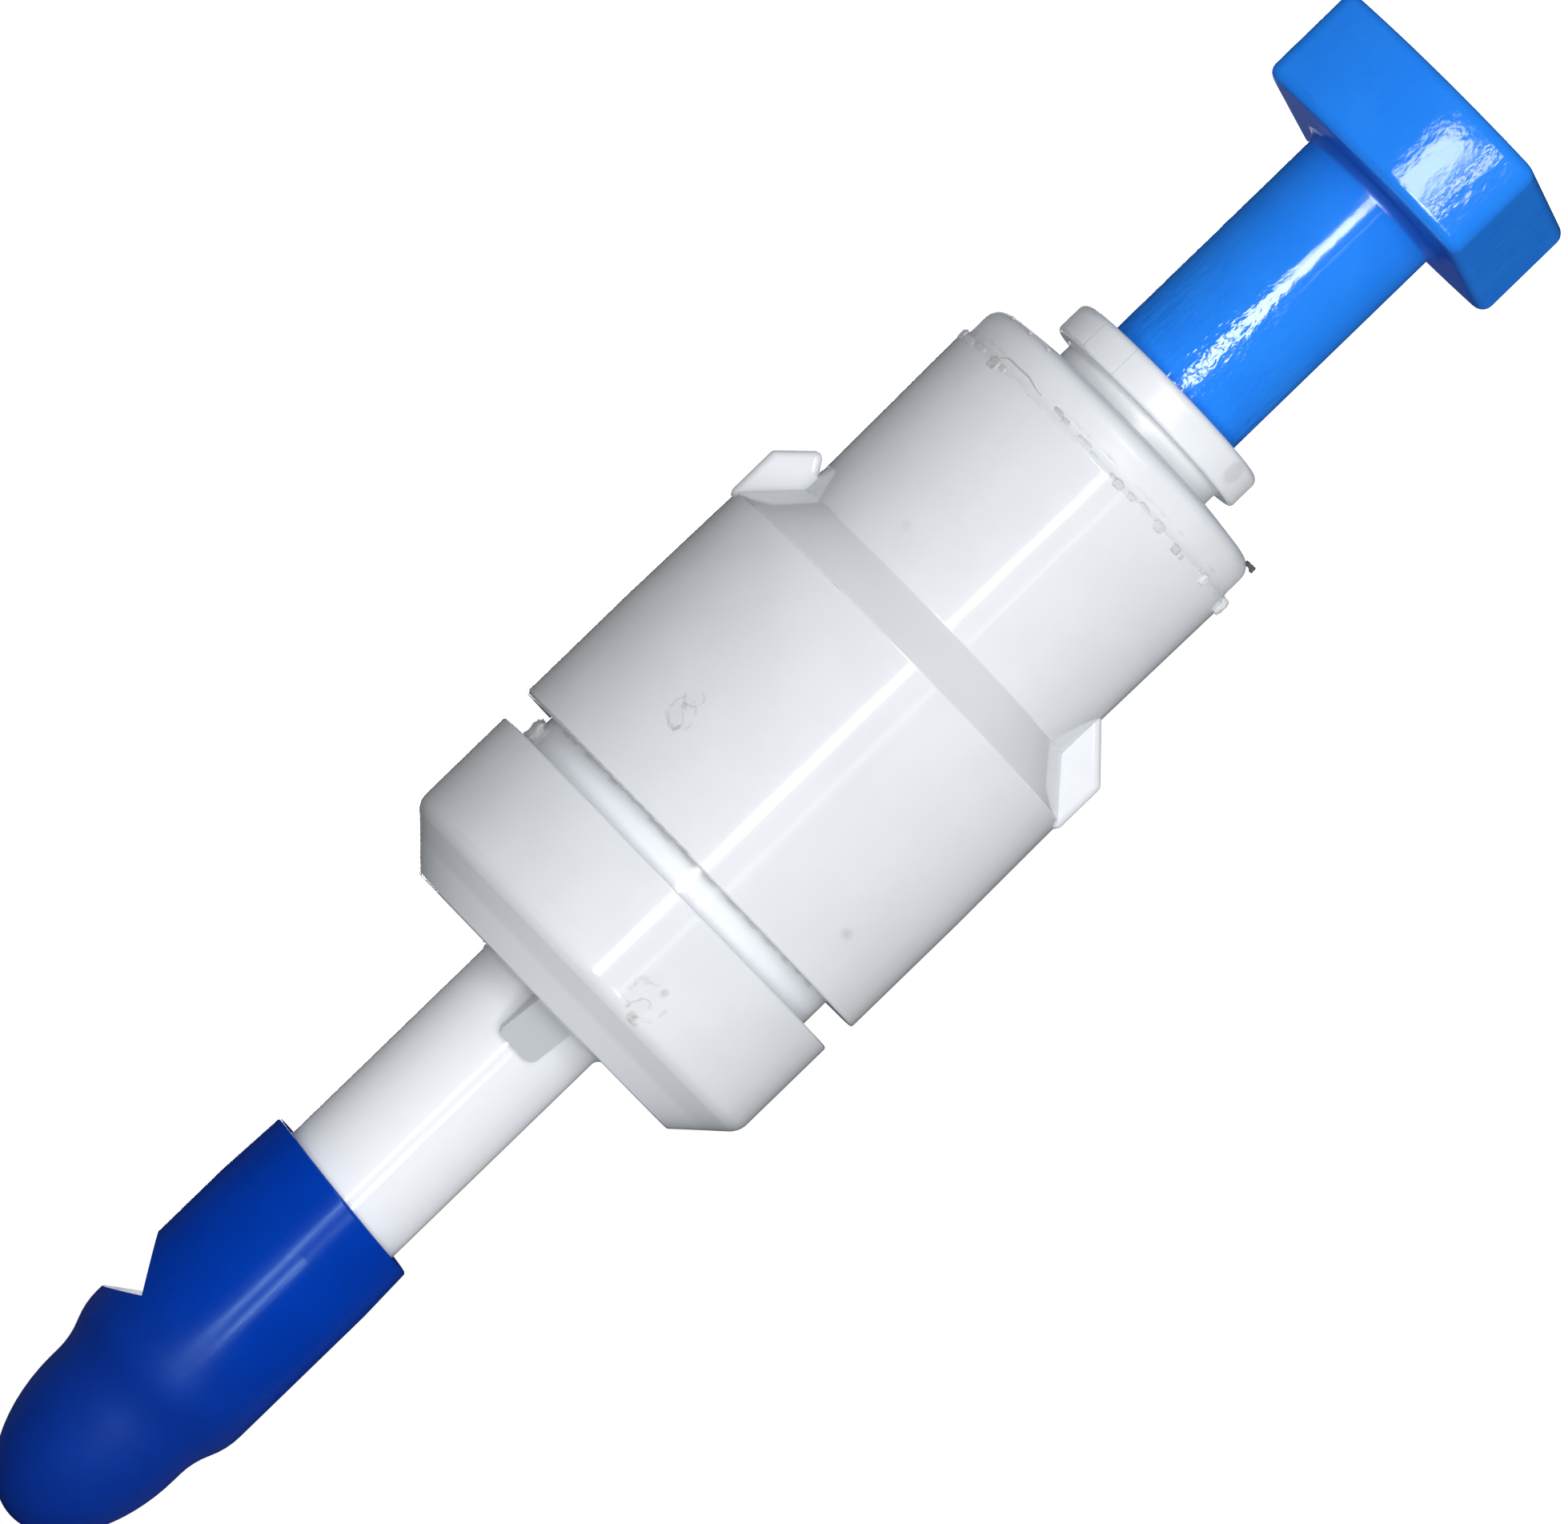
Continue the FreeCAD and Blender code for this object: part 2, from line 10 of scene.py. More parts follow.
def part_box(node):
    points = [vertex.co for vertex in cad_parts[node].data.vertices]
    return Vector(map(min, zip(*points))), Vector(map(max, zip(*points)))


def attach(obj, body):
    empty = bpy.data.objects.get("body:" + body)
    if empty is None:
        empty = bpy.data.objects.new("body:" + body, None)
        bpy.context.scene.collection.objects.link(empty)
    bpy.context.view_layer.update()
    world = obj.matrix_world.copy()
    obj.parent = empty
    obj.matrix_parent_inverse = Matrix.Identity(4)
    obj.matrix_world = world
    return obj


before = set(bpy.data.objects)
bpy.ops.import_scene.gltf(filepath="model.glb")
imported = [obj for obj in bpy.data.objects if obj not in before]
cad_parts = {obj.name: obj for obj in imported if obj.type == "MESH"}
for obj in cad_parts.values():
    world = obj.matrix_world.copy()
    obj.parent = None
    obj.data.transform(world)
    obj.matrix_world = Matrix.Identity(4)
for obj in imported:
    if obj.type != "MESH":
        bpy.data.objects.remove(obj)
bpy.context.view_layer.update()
MM = 0.001

# Camera, as the photograph sees the cartridge
VIEW_DISTANCE = 525 * MM
VIEW_WIDTH = 59.13 * MM
SENSOR_WIDTH = 36.0
VIEW_HEIGHT = 35.39 * MM
VIEW_SIDE = 0.14 * MM
VIEW_ELEVATION = 1.1
AXIS_ANGLE = 224.1

# Floor, low enough for the plug's head when it is pulled out
FLOOR_Z = -17.0 * MM
FLOOR_HALF = 1.5

# Dark tent round the cartridge and the cards in it, all seen only in reflections
TENT_R = 0.30
TENT_HEIGHT = 0.45
TENT_SIDES = 64
TENT_LIFT = 0.01 * MM
CARD_LIFT = 0.03 * MM
CARD_STEPS = 16

# Lamps aimed at the middle of the cartridge: name, azimuth, elevation, distance, width, height, power in
# watts and whether reflections show them
LAMPS = (
    ("strip", -8.0, -1.0, 0.26, 0.013, 0.16, 0.11, True),
    ("second_strip", -23.5, -3.2, 0.26, 0.006, 0.082, 0.0065, True),
    ("cap_strip", -23.0, 9.5, 0.26, 0.022, 0.033, 0.037, True),
    ("back_strip", 172.0, -1.0, 0.26, 0.010, 0.16, 0.05, True),
    ("front", -10.0, 0.0, 0.8, 0.5, 0.5, 4.2, False),
    ("left_back", -138.0, 12.0, 0.8, 0.5, 0.5, 2.0, False),
    ("right_back", 138.0, 12.0, 0.8, 0.5, 0.5, 2.0, False),
)
# Upright cards for the streaks on the plug: name, corners in millimetres (low left, low right, high left,
# high right) and strength
CARDS = (
    ("shank_card", ((-7.4, -43, 1.6), (1.4, -43, 1.6), (-13.8, -43, 13.0), (7.4, -43, 13.0)), 20.0),
    ("head_card", ((-2.3, -15.9, 0.1), (2.7, -15.9, 0.1), (-2.3, -15.9, 3.9), (2.7, -15.9, 3.9)), 15.0),
)
# Cards on the tent's floor: name, azimuth, half width in degrees, near and far ends in millimetres, strength
FLOOR_CARDS = (
    ("strip_card", -8.0, 1.4, 100.0, 290.0, 17.0),
    ("back_strip_card", 172.0, 1.1, 80.0, 290.0, 9.0),
)

# Heights and radii of the solids
SEAM_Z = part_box("housing")[0].z
GROOVE_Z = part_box("housing")[1].z
CAP_FACE_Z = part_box("socket_cap")[0].z
STEM_CAP_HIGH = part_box("stem_cap")[1].z
SOCKET_CAP_R = 6.90 * MM
NECK_R = 7.13 * MM
SPIGOT_R = 7.46 * MM
STEM_R = 3.00 * MM
COLLET_FACE_Z = 16.62 * MM
HEAD_TOP_Z = 4.45 * MM
BASE_FACE_Z = 48.19 * MM

# Chips of weld flash on the seam: angle in degrees from +X towards +Y, rise over the seam, half sizes
# outwards, around and along the axis, all in millimetres, and how grey the chip is, a grey that is partly
# the flash's own stain and partly painted shade. All are then flattened towards the wall and paled by
# the two shares below.
SEAM_CHIPS = (
    (-3.0, -0.02, 0.15, 0.16, 0.20, 0.25),
    (-8.5, 0.00, 0.12, 0.50, 0.22, 0.30),
    (-20.0, 0.05, 0.09, 0.55, 0.16, 0.35),
    (-30.0, 0.02, 0.08, 0.40, 0.14, 0.45),
    (-41.0, 0.09, 0.10, 0.25, 0.22, 0.80),
    (-45.5, 0.04, 0.07, 0.16, 0.12, 0.55),
    (-70.0, -0.24, 0.09, 0.26, 0.13, 0.85),
    (-74.0, -0.16, 0.09, 0.22, 0.14, 0.70),
    (-82.5, -0.15, 0.08, 0.34, 0.10, 0.55),
    (-87.5, -0.04, 0.07, 0.18, 0.09, 0.50),
    (-96.0, 0.00, 0.08, 0.16, 0.10, 0.65),
    (-99.0, 0.04, 0.09, 0.22, 0.16, 0.60),
    (-104.5, 0.02, 0.08, 0.20, 0.13, 0.50),
    (-110.0, -0.03, 0.08, 0.26, 0.14, 0.40),
    (-117.5, 0.03, 0.09, 0.26, 0.19, 0.42),
    (-127.5, 0.11, 0.09, 0.24, 0.15, 0.65),
    (-131.0, 0.16, 0.07, 0.12, 0.10, 0.50),
    (-141.0, -0.02, 0.07, 0.12, 0.10, 0.40),
    (-146.0, 0.09, 0.14, 0.24, 0.20, 0.00),
    (-172.0, 0.16, 0.34, 0.30, 0.34, 0.40),
)
HIDDEN_CHIPS = 16
CHIP_FLATNESS = 0.6
CHIP_PALENESS = 0.8
CHIP_AROUND = 48
CHIP_ALONG = 25
CHIP_SQUARENESS = 0.6

# Threads of flash below the seam: (angle, rise) points in degrees and millimetres
SEAM_THREADS = (
    (
        (-33.0, 0.05), (-39.7, -0.22), (-42.3, -0.44), (-49.3, -0.42),
        (-54.2, -0.44), (-58.8, -0.28), (-68.0, -0.16),
    ),
    (
        (-42.0, 0.10), (-46.7, -0.11), (-51.7, -0.08), (-55.5, 0.05),
        (-59.4, 0.06), (-60.5, -0.26), (-62.0, -0.26),
    ),
)
THREAD_STEPS = 140
THREAD_SIDES = 10
THREAD_SMOOTHING = 25

# Melted fillet in the corner at the seam
FILLET_HEIGHT = 0.55 * MM
FILLET_DROP = 0.50 * MM
FILLET_STEPS = 720

# Burrs along the socket cap's rim, in degrees, and the hook of flash that stands out of it
BURR_ANGLES = (-25.0, -39.0, -50.0, 35.0, 110.0)
HOOK_ANGLE = -172.0

# Dirt in the two dished marks: outlines as x, z, half width and half height in millimetres and turn in
# degrees, and specks as x, z and half size in millimetres
BARREL_LOOPS = ((4.20, 36.25, 0.36, 0.32, 0), (4.08, 37.0, 0.48, 0.62, 20), (4.2, 37.3, 0.3, 0.5, 60))
BARREL_SPECKS = ((4.21, 36.75, 0.14),)
BASE_LOOPS = ((-2.60, 45.4, 0.75, 0.70, 0), (-2.75, 45.9, 0.4, 0.5, 30))
BASE_SPECKS = ((-2.75, 46.2, 0.26), (-2.95, 44.7, 0.22))


def srgb(red, green, blue):
    """Linear colour of an 8-bit screen colour."""
    parts = [c / 255 for c in (red, green, blue)]
    return [c / 12.92 if c <= 0.04045 else ((c + 0.055) / 1.055) ** 2.4 for c in parts] + [1.0]


SHELL_WHITE = srgb(232, 235, 239)
SHELL_SHADE = srgb(229, 232, 236)
STEM_WHITE = srgb(240, 243, 247)
# Painted shade for the stem's rib, not a colour of the plastic
RIB_PAINTED_SHADE = srgb(198, 202, 204)
COLLET_WHITE = srgb(238, 241, 245)
COLLET_SHADE = srgb(234, 237, 241)
PLUG_BLUE = srgb(41, 139, 252)
PLUG_SHADE = srgb(37, 134, 249)
# Painted shade for the crevice where the plug's shank leaves its head
PLUG_ROOT_PAINTED_SHADE = srgb(14, 78, 190)
CAP_BLUE = srgb(0, 57, 172)
CAP_SHADE = srgb(1, 44, 142)
DIRT_BROWN = srgb(140, 124, 104)
DIRT_GREY = srgb(150, 152, 152)
# Grey of the weld flash: partly its own stain, partly painted shade
FLASH_STAIN_AND_SHADE = srgb(182, 181, 177)
BURR_GREY = srgb(96, 92, 90)
STEEL_GREY = srgb(190, 190, 192)
STEEL_SHADE = srgb(170, 170, 174)
INNER_WHITE = srgb(226, 226, 222)
INNER_SHADE = srgb(216, 216, 212)
SEAL_BLACK = srgb(34, 34, 34)
SEAL_SHADE = srgb(26, 26, 27)
FELT_CREAM = srgb(232, 230, 222)
FELT_SHADE = srgb(206, 204, 196)
RESIN_BROWN = srgb(120, 70, 40)
RESIN_SHADE = srgb(60, 32, 20)


class Wire:
    """A shader socket. Arithmetic on it adds the Math node that does the same."""

    def __init__(self, finish, socket):
        self.finish = finish
        self.socket = socket

    def maths(self, operation, *values):
        return self.finish.node("ShaderNodeMath", values, operation=operation)

    def __add__(self, other):
        return self.maths("ADD", self, other)

    def __sub__(self, other):
        return self.maths("SUBTRACT", self, other)

    def __rsub__(self, other):
        return self.maths("SUBTRACT", other, self)

    def __mul__(self, other):
        return self.maths("MULTIPLY", self, other)

    def __truediv__(self, other):
        return self.maths("DIVIDE", self, other)

    def __pow__(self, other):
        return self.maths("POWER", self, other)

    def __abs__(self):
        return self.maths("ABSOLUTE", self)

    __radd__ = __add__
    __rmul__ = __mul__


class Finish:
    """One material: its principled shader and the nodes that feed it."""

    def __init__(self, name, sockets):
        self.material = bpy.data.materials.new(name)
        self.material.use_nodes = True
        self.tree = self.material.node_tree
        self.shader = self.tree.nodes["Principled BSDF"]
        for socket, value in sockets.items():
            self.feed(socket, value)
        self.place = self.node("ShaderNodeTexCoord", output="Object")
        self.x, self.y, self.z = self.split(self.place)

    def feed(self, name, value):
        """A value or a link for one socket of the principled shader."""
        self.join(self.shader.inputs[name], value)

    def join(self, socket, value):
        if isinstance(value, Wire):
            self.tree.links.new(value.socket, socket)
        else:
            socket.default_value = value

    def node(self, kind, inputs=(), output=0, **settings):
        """Adds a node: its settings first, then values or links for its sockets, by place or by name."""
        node = self.tree.nodes.new(kind)
        for name, value in settings.items():
            setattr(node, name, value)
        pairs = inputs.items() if isinstance(inputs, dict) else enumerate(inputs)
        for key, value in pairs:
            self.join(node.inputs[key], value)
        return Wire(self, node.outputs[output])

    def radius(self):
        """Distance from the axis."""
        return (self.x * self.x + self.y * self.y) ** 0.5

    def split(self, vector):
        parts = self.node("ShaderNodeSeparateXYZ", [vector]).socket.node.outputs
        return [Wire(self, part) for part in parts]

    def noise(self, size, detail=2.0, stretch=(1, 1, 1), shift=0.0):
        """Cloudy noise round 0.5 whose features are about the given size."""
        sockets = {
            "Vector": self.place,
            "Scale": [1 / (size * part) for part in stretch],
            "Location": [shift] * 3,
        }
        mapped = self.node("ShaderNodeMapping", sockets)
        return self.node("ShaderNodeTexNoise", {"Vector": mapped, "Scale": 1.0, "Detail": detail})

    def step(self, value, low, high):
        """0 at low, 1 at high, smooth in between. Low may be above high."""
        if low > high:
            return 1 - self.step(value, high, low)
        return self.node("ShaderNodeMapRange", [value, low, high], interpolation_type="SMOOTHSTEP")

    def band(self, value, centre, half, soft):
        """1 within half of the centre, fading to 0 over soft."""
        return self.step(abs(value - centre), half + soft, half)

    def oval(self, x, z, across, along, turn=0.0):
        """Distance from a point of the camera's side, as a share of an ellipse round it that is turned by
        some degrees: 0 at the point, 1 on the ellipse."""
        c = math.cos(math.radians(turn))
        s = math.sin(math.radians(turn))
        dx = self.x - x
        dz = self.z - z
        u = (dx * c + dz * s) / across
        v = (dz * c - dx * s) / along
        return (u * u + v * v) ** 0.5

    def front(self):
        """1 on the camera's side, 0 on the far side."""
        return self.step(self.y, 0.0, -1 * MM)

    def spot(self, x, z, across, along, turn=0.0):
        """1 at a point of the camera's side, falling to 0 at an ellipse round it."""
        return (1 - self.step(self.oval(x, z, across, along, turn), 0.0, 1.0)) * self.front()

    def blend(self, factor, first, second):
        """Colour that goes from first to second as the factor goes from 0 to 1."""
        return self.node("ShaderNodeMix", {0: factor, 6: first, 7: second}, output=2, data_type="RGBA")

    def bump(self, *layers):
        """Surface relief from (height from 0 to 1, depth in metres) layers."""
        height = sum(layer * (depth / MM) for layer, depth in layers)
        normal = self.node("ShaderNodeBump", {"Strength": 1.0, "Distance": MM, "Height": height})
        self.feed("Normal", normal)


def moulded_white(name, gloss=0.5, roughness=0.08, dirt=(), dents=()):
    """Moulded plastic, faintly cloudy, with dirt masks laid over its colour."""
    finish = Finish(name, {"IOR": 1.5, "Specular IOR Level": gloss})
    cloud = finish.noise(3.0 * MM, 3.0)
    color = finish.blend(finish.step(cloud, 0.35, 0.65), SHELL_WHITE, SHELL_SHADE)
    masks = [make(finish) for make in dirt]
    for mask, tint in masks:
        color = finish.blend(mask, color, tint)
    finish.feed("Base Color", color)
    grain = finish.noise(0.12 * MM, 2.0)
    wander = finish.noise(2.2 * MM, 1.0, shift=4.0)
    finish.feed("Roughness", roughness + 0.08 * grain)
    layers = [(grain, 0.0002 * MM), (wander, 0.008 * MM)]
    layers += [(make(finish), -depth) for make, depth in dents]
    finish.bump(*layers)
    return finish.material


def ring_dirt(radius, height, reach, seed, amount):
    """Broken brownish line along the circle of the given radius and height."""

    def make(finish):
        aside = finish.radius() - radius
        rise = finish.z - height
        away = (aside * aside + rise * rise) ** 0.5
        ragged = (finish.noise(0.8 * MM, 2.0, shift=seed) - 0.5) * reach
        line = finish.step(away + ragged, reach, reach * 0.2)
        broken = finish.step(finish.noise(0.9 * MM, 3.0, shift=seed + 2), 0.38, 0.62)
        return line * broken * amount, DIRT_BROWN

    return make


def paler_stem():
    """The stem is whiter than the barrel."""

    def make(finish):
        above = finish.step(finish.z, BASE_FACE_Z + 0.4 * MM, BASE_FACE_Z + 1.4 * MM)
        return above, STEM_WHITE

    return make


def rib_painted_shade():
    """Painted shade: the rib on the stem is painted a greyer white, for the shade on its sloping face."""

    def make(finish):
        beyond = finish.step(finish.radius(), STEM_R + 0.25 * MM, STEM_R + 0.45 * MM)
        above = finish.step(finish.z, BASE_FACE_Z - 0.05 * MM, BASE_FACE_Z + 0.15 * MM)
        return beyond * above * 0.75, RIB_PAINTED_SHADE

    return make


def paler_groove():
    """The floor of the groove is as white as the stem."""

    def make(finish):
        deep = finish.step(finish.radius(), SPIGOT_R + 0.4 * MM, SPIGOT_R + 0.1 * MM)
        return deep, STEM_WHITE

    return make


def flash_grey_and_shade(tint):
    """Greyer plastic where the piece's stain_and_shade attribute says. On the weld's chips that grey is
    partly their own stain and partly painted shade.
    """

    def make(finish):
        stain_and_shade = finish.node("ShaderNodeAttribute", output="Fac", attribute_name="stain_and_shade")
        return stain_and_shade, tint

    return make


def smudge_dirt(loops, specks, seed, amount):
    """Dried dirt inside a dished mark: wavering, broken outlines of ellipses with a faint wash inside them,
    and darker specks."""

    def make(finish):
        waver = (finish.noise(0.5 * MM, 2.0, shift=seed) - 0.5) * 1.1
        broken = finish.step(finish.noise(0.5 * MM, 2.0, shift=seed + 5), 0.36, 0.6)
        marks = 0
        for x, z, across, along, turn in loops:
            away = finish.oval(x * MM, z * MM, across * MM, along * MM, turn) + waver
            outline = finish.band(away, 1.0, 0.04, 0.16) * broken
            wash = finish.step(away, 1.1, 0.3)
            marks = marks + outline * 0.8 + wash * 0.13
        for x, z, size in specks:
            away = finish.oval(x * MM, z * MM, size * MM, size * MM) + waver
            marks = marks + finish.step(away, 1.0, 0.4) * 0.8
        return marks * finish.front() * amount, DIRT_BROWN

    return make


def faint_spot(x, z, size, amount):
    """Faint grey spot on the camera's side."""

    def make(finish):
        return finish.spot(x, z, size, size) * amount, DIRT_GREY

    return make


def dish(x, z, across, along, turn):
    """Shallow dished mark left by the mould's gate."""

    def make(finish):
        return finish.step(finish.spot(x, z, across, along, turn), 0.0, 0.8)

    return make


def plug_blue():
    """Glossy blue plastic whose skin is pulled into lengthwise ripples, stronger near the collet. Where the
    shank leaves the head it is duller and carries painted shade, a deeper blue for the shade in that
    crevice."""
    finish = Finish("plug_blue", {"IOR": 1.5, "Specular IOR Level": 0.5})
    cloud = finish.noise(2.5 * MM, 3.0)
    # Band where the shank leaves the head: painted shade in its colour, and also rougher
    above_face = finish.step(finish.z, HEAD_TOP_Z - 0.1 * MM, HEAD_TOP_Z)
    root_shade_and_dull = above_face * finish.step(finish.z, HEAD_TOP_Z + 0.5 * MM, HEAD_TOP_Z + 0.25 * MM)
    skin = finish.blend(finish.step(cloud, 0.3, 0.7), PLUG_BLUE, PLUG_SHADE)
    finish.feed("Base Color", finish.blend(root_shade_and_dull * 0.8, skin, PLUG_ROOT_PAINTED_SHADE))
    grain = finish.noise(0.15 * MM, 2.0)
    ripples = finish.noise(0.36 * MM, 2.0, stretch=(1, 1, 1.8), shift=2.0)
    growth = finish.step(finish.z, 7.5 * MM, 13.5 * MM)
    head = finish.step(finish.z, HEAD_TOP_Z - 0.2 * MM, HEAD_TOP_Z - 0.6 * MM)
    waves = finish.noise(1.8 * MM, 1.0, shift=6.0)
    finish.feed("Roughness", 0.08 + 0.06 * grain + 0.35 * root_shade_and_dull)
    finish.bump(
        (grain, 0.0003 * MM),
        (ripples * (0.1 + 0.9 * growth + 0.25 * head), 0.06 * MM),
        (waves, 0.010 * MM),
    )
    return finish.material


def cap_blue():
    """Soft dipped vinyl: deep blue, waxy, with faint lengthwise drips, darker and duller on its nose."""
    finish = Finish("cap_blue", {
        "IOR": 1.5,
        "Specular IOR Level": 0.45,
        "Specular Tint": (0.42, 0.72, 1.0, 1.0),
    })
    nose = finish.step(finish.z, STEM_CAP_HIGH - 12 * MM, STEM_CAP_HIGH - 6 * MM)
    tip = finish.step(finish.z, STEM_CAP_HIGH - 14 * MM, STEM_CAP_HIGH - 5 * MM)
    cloud = finish.step(finish.noise(2.0 * MM, 3.0), 0.3, 0.7)
    finish.feed("Base Color", finish.blend(tip * 0.8 + cloud * 0.2, CAP_BLUE, CAP_SHADE))
    grain = finish.noise(0.2 * MM, 2.0)
    drips = finish.noise(0.5 * MM, 2.0, stretch=(1, 1, 6), shift=3.0)
    finish.feed("Roughness", 0.15 + 0.35 * nose + 0.1 * grain)
    finish.bump((grain, 0.0004 * MM), (drips, 0.006 * MM))
    return finish.material


def plain(name, color, shade, roughness, size, relief, sockets=()):
    """A finish with two close colours in cloudy patches and a fine relief."""
    finish = Finish(name, dict(sockets))
    cloud = finish.noise(size, 3.0)
    finish.feed("Base Color", finish.blend(finish.step(cloud, 0.35, 0.65), color, shade))
    finish.feed("Roughness", roughness + 0.1 * cloud)
    finish.bump((cloud, relief))
    return finish.material


def collet_white():
    """Satin white collet with one fine lengthwise scratch on its flange, fainter ones to its left, and a
    rubbed grey patch on its right."""
    finish = Finish("collet_white", {"IOR": 1.5, "Specular IOR Level": 0.35})
    flange = finish.front() * finish.step(finish.z, COLLET_FACE_Z + 0.05 * MM, COLLET_FACE_Z - 0.1 * MM)
    scratch = finish.band(finish.x, 2.04 * MM, 0.01 * MM, 0.02 * MM)
    faint = finish.step(finish.noise(0.22 * MM, 1.0, stretch=(1, 1, 60), shift=9.0), 0.62, 0.72)
    faint = faint * finish.band(finish.x, 3.7 * MM, 0.5 * MM, 0.3 * MM)
    lines = (0.7 * scratch + 0.5 * faint) * flange
    patch = finish.spot(-3.81 * MM, 15.75 * MM, 0.45 * MM, 0.75 * MM)
    color = finish.blend(finish.step(finish.noise(2.5 * MM), 0.35, 0.65), COLLET_WHITE, COLLET_SHADE)
    color = finish.blend(finish.step(patch, 0.0, 0.6) * 0.25, color, DIRT_GREY)
    finish.feed("Base Color", finish.blend(lines * 0.3, color, DIRT_GREY))
    grain = finish.noise(0.12 * MM, 2.0)
    finish.feed("Roughness", 0.26 + 0.08 * grain)
    finish.bump((grain, 0.0004 * MM), (lines, -0.01 * MM), (finish.noise(1.5 * MM), 0.006 * MM))
    return finish.material


def resin_beads():
    """Dark packed resin beads."""
    finish = Finish("resin_beads", {"IOR": 1.5})
    mapped = finish.node("ShaderNodeMapping", {"Vector": finish.place, "Scale": [1 / (0.6 * MM)] * 3})
    beads = finish.node("ShaderNodeTexVoronoi", {"Vector": mapped, "Scale": 1.0})
    finish.feed("Base Color", finish.blend(finish.step(beads, 0.1, 0.6), RESIN_BROWN, RESIN_SHADE))
    finish.feed("Roughness", 0.4)
    finish.bump((beads, -0.2 * MM))
    return finish.material


def ring_skin(grid):
    """Points and faces of a closed skin over a grid that joins up in both directions."""
    rows, columns, _ = grid.shape
    i, j = np.meshgrid(np.arange(rows), np.arange(columns), indexing="ij")
    after_i = (i + 1) % rows
    after_j = (j + 1) % columns
    corners = [i * columns + j, i * columns + after_j, after_i * columns + after_j, after_i * columns + j]
    return grid.reshape(-1, 3), np.stack(corners, -1).reshape(-1, 4)


def pod_skin(grid):
    """Points and faces of a closed skin over a grid whose rows join up and whose end columns are points.
    The faces at the ends are triangles, held as four corners of which the last two are one."""
    rows, columns, _ = grid.shape
    width = columns - 2
    points = np.concatenate([grid[:1, 0], grid[:, 1:-1].reshape(-1, 3), grid[:1, -1]])
    last = len(points) - 1
    i, j = np.meshgrid(np.arange(rows), np.arange(width - 1), indexing="ij")
    here = 1 + i * width + j
    after = 1 + (i + 1) % rows * width + j
    sides = np.stack([here, here + 1, after + 1, after], -1).reshape(-1, 4)
    row = 1 + np.arange(rows) * width
    next_row = np.roll(row, -1)
    first_fan = np.stack([0 * row, row, next_row, next_row], -1)
    last_fan = np.stack([0 * row + last, next_row + width - 1, row + width - 1, row + width - 1], -1)
    return points, np.concatenate([sides, first_fan, last_fan])


def outward(points, faces):
    """The faces, turned over where the volume that they enclose comes out negative."""
    a, b, c, d = (points[faces[:, k]] for k in range(4))
    volume = np.einsum("ij,ij->i", a, np.cross(b, c) + np.cross(c, d)).sum()
    return faces[:, ::-1] if volume < 0 else faces


def add_piece(name, skins, material):
    """One piece of the cartridge out of (points, faces, stain_and_shade) skins, with its faces outwards."""
    corners = []
    start = 0
    for points, faces, _ in skins:
        corners += [tuple(dict.fromkeys(face)) for face in (outward(points, faces) + start).tolist()]
        start += len(points)
    mesh = bpy.data.meshes.new(name)
    mesh.from_pydata(np.concatenate([points for points, _, _ in skins]).tolist(), [], corners)
    mesh.polygons.foreach_set("use_smooth", np.ones(len(corners), bool))
    stain_and_shade = np.concatenate([np.full(len(points), stain_and_shade) for points, _, stain_and_shade in skins])
    mesh.attributes.new("stain_and_shade", "FLOAT", "POINT").data.foreach_set("value", stain_and_shade.astype(np.float32))
    mesh.materials.append(material)
    piece = bpy.data.objects.new(name, mesh)
    bpy.context.scene.collection.objects.link(piece)
    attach(piece, "cartridge")


def ripple(angle, seed, slowest, fastest):
    """Sum of sine waves round the circle with random whole frequencies and phases, from -1 to 1."""
    random = np.random.default_rng(seed)
    terms = 30
    frequency = random.integers(slowest, fastest + 1, terms)[:, None]
    phase = random.uniform(0, 2 * np.pi, terms)[:, None]
    size = random.uniform(0.4, 1.0, terms)[:, None]
    wave = (size * np.sin(frequency * angle + phase)).sum(0)
    return wave / np.abs(wave).max()


def fillet_radius(t):
    """Parabola from the socket cap's rim at t = 0 up to the neck at t = 1."""
    return SOCKET_CAP_R - 0.01 * MM + (NECK_R - SOCKET_CAP_R + 0.02 * MM) * t ** 2


def seam_fillet(seed):
    """Run of melted plastic that fills the corner at the seam. Its outer line is the parabola above,
    pushed in and out by a small wave, and it closes inside the walls."""
    angle = np.linspace(0, 2 * np.pi, FILLET_STEPS, endpoint=False)[:, None]
    t = np.linspace(0, 1, 12)[None, :]
    wave = 0.012 * MM * ripple(angle[:, 0], seed, 6, 50)[:, None] * np.sin(np.pi * t)
    r = fillet_radius(t) + wave
    z = SEAM_Z + (FILLET_HEIGHT * t - FILLET_DROP) + 0 * wave
    inner_r = np.full((FILLET_STEPS, 2), SOCKET_CAP_R - 0.05 * MM)
    inner_z = SEAM_Z + np.array([0.1, -0.45]) * MM + 0 * inner_r
    r = np.concatenate([r, inner_r], 1)
    z = np.concatenate([z, inner_z], 1)
    return *ring_skin(np.stack([r * np.cos(angle), r * np.sin(angle), z], -1)), 0.0


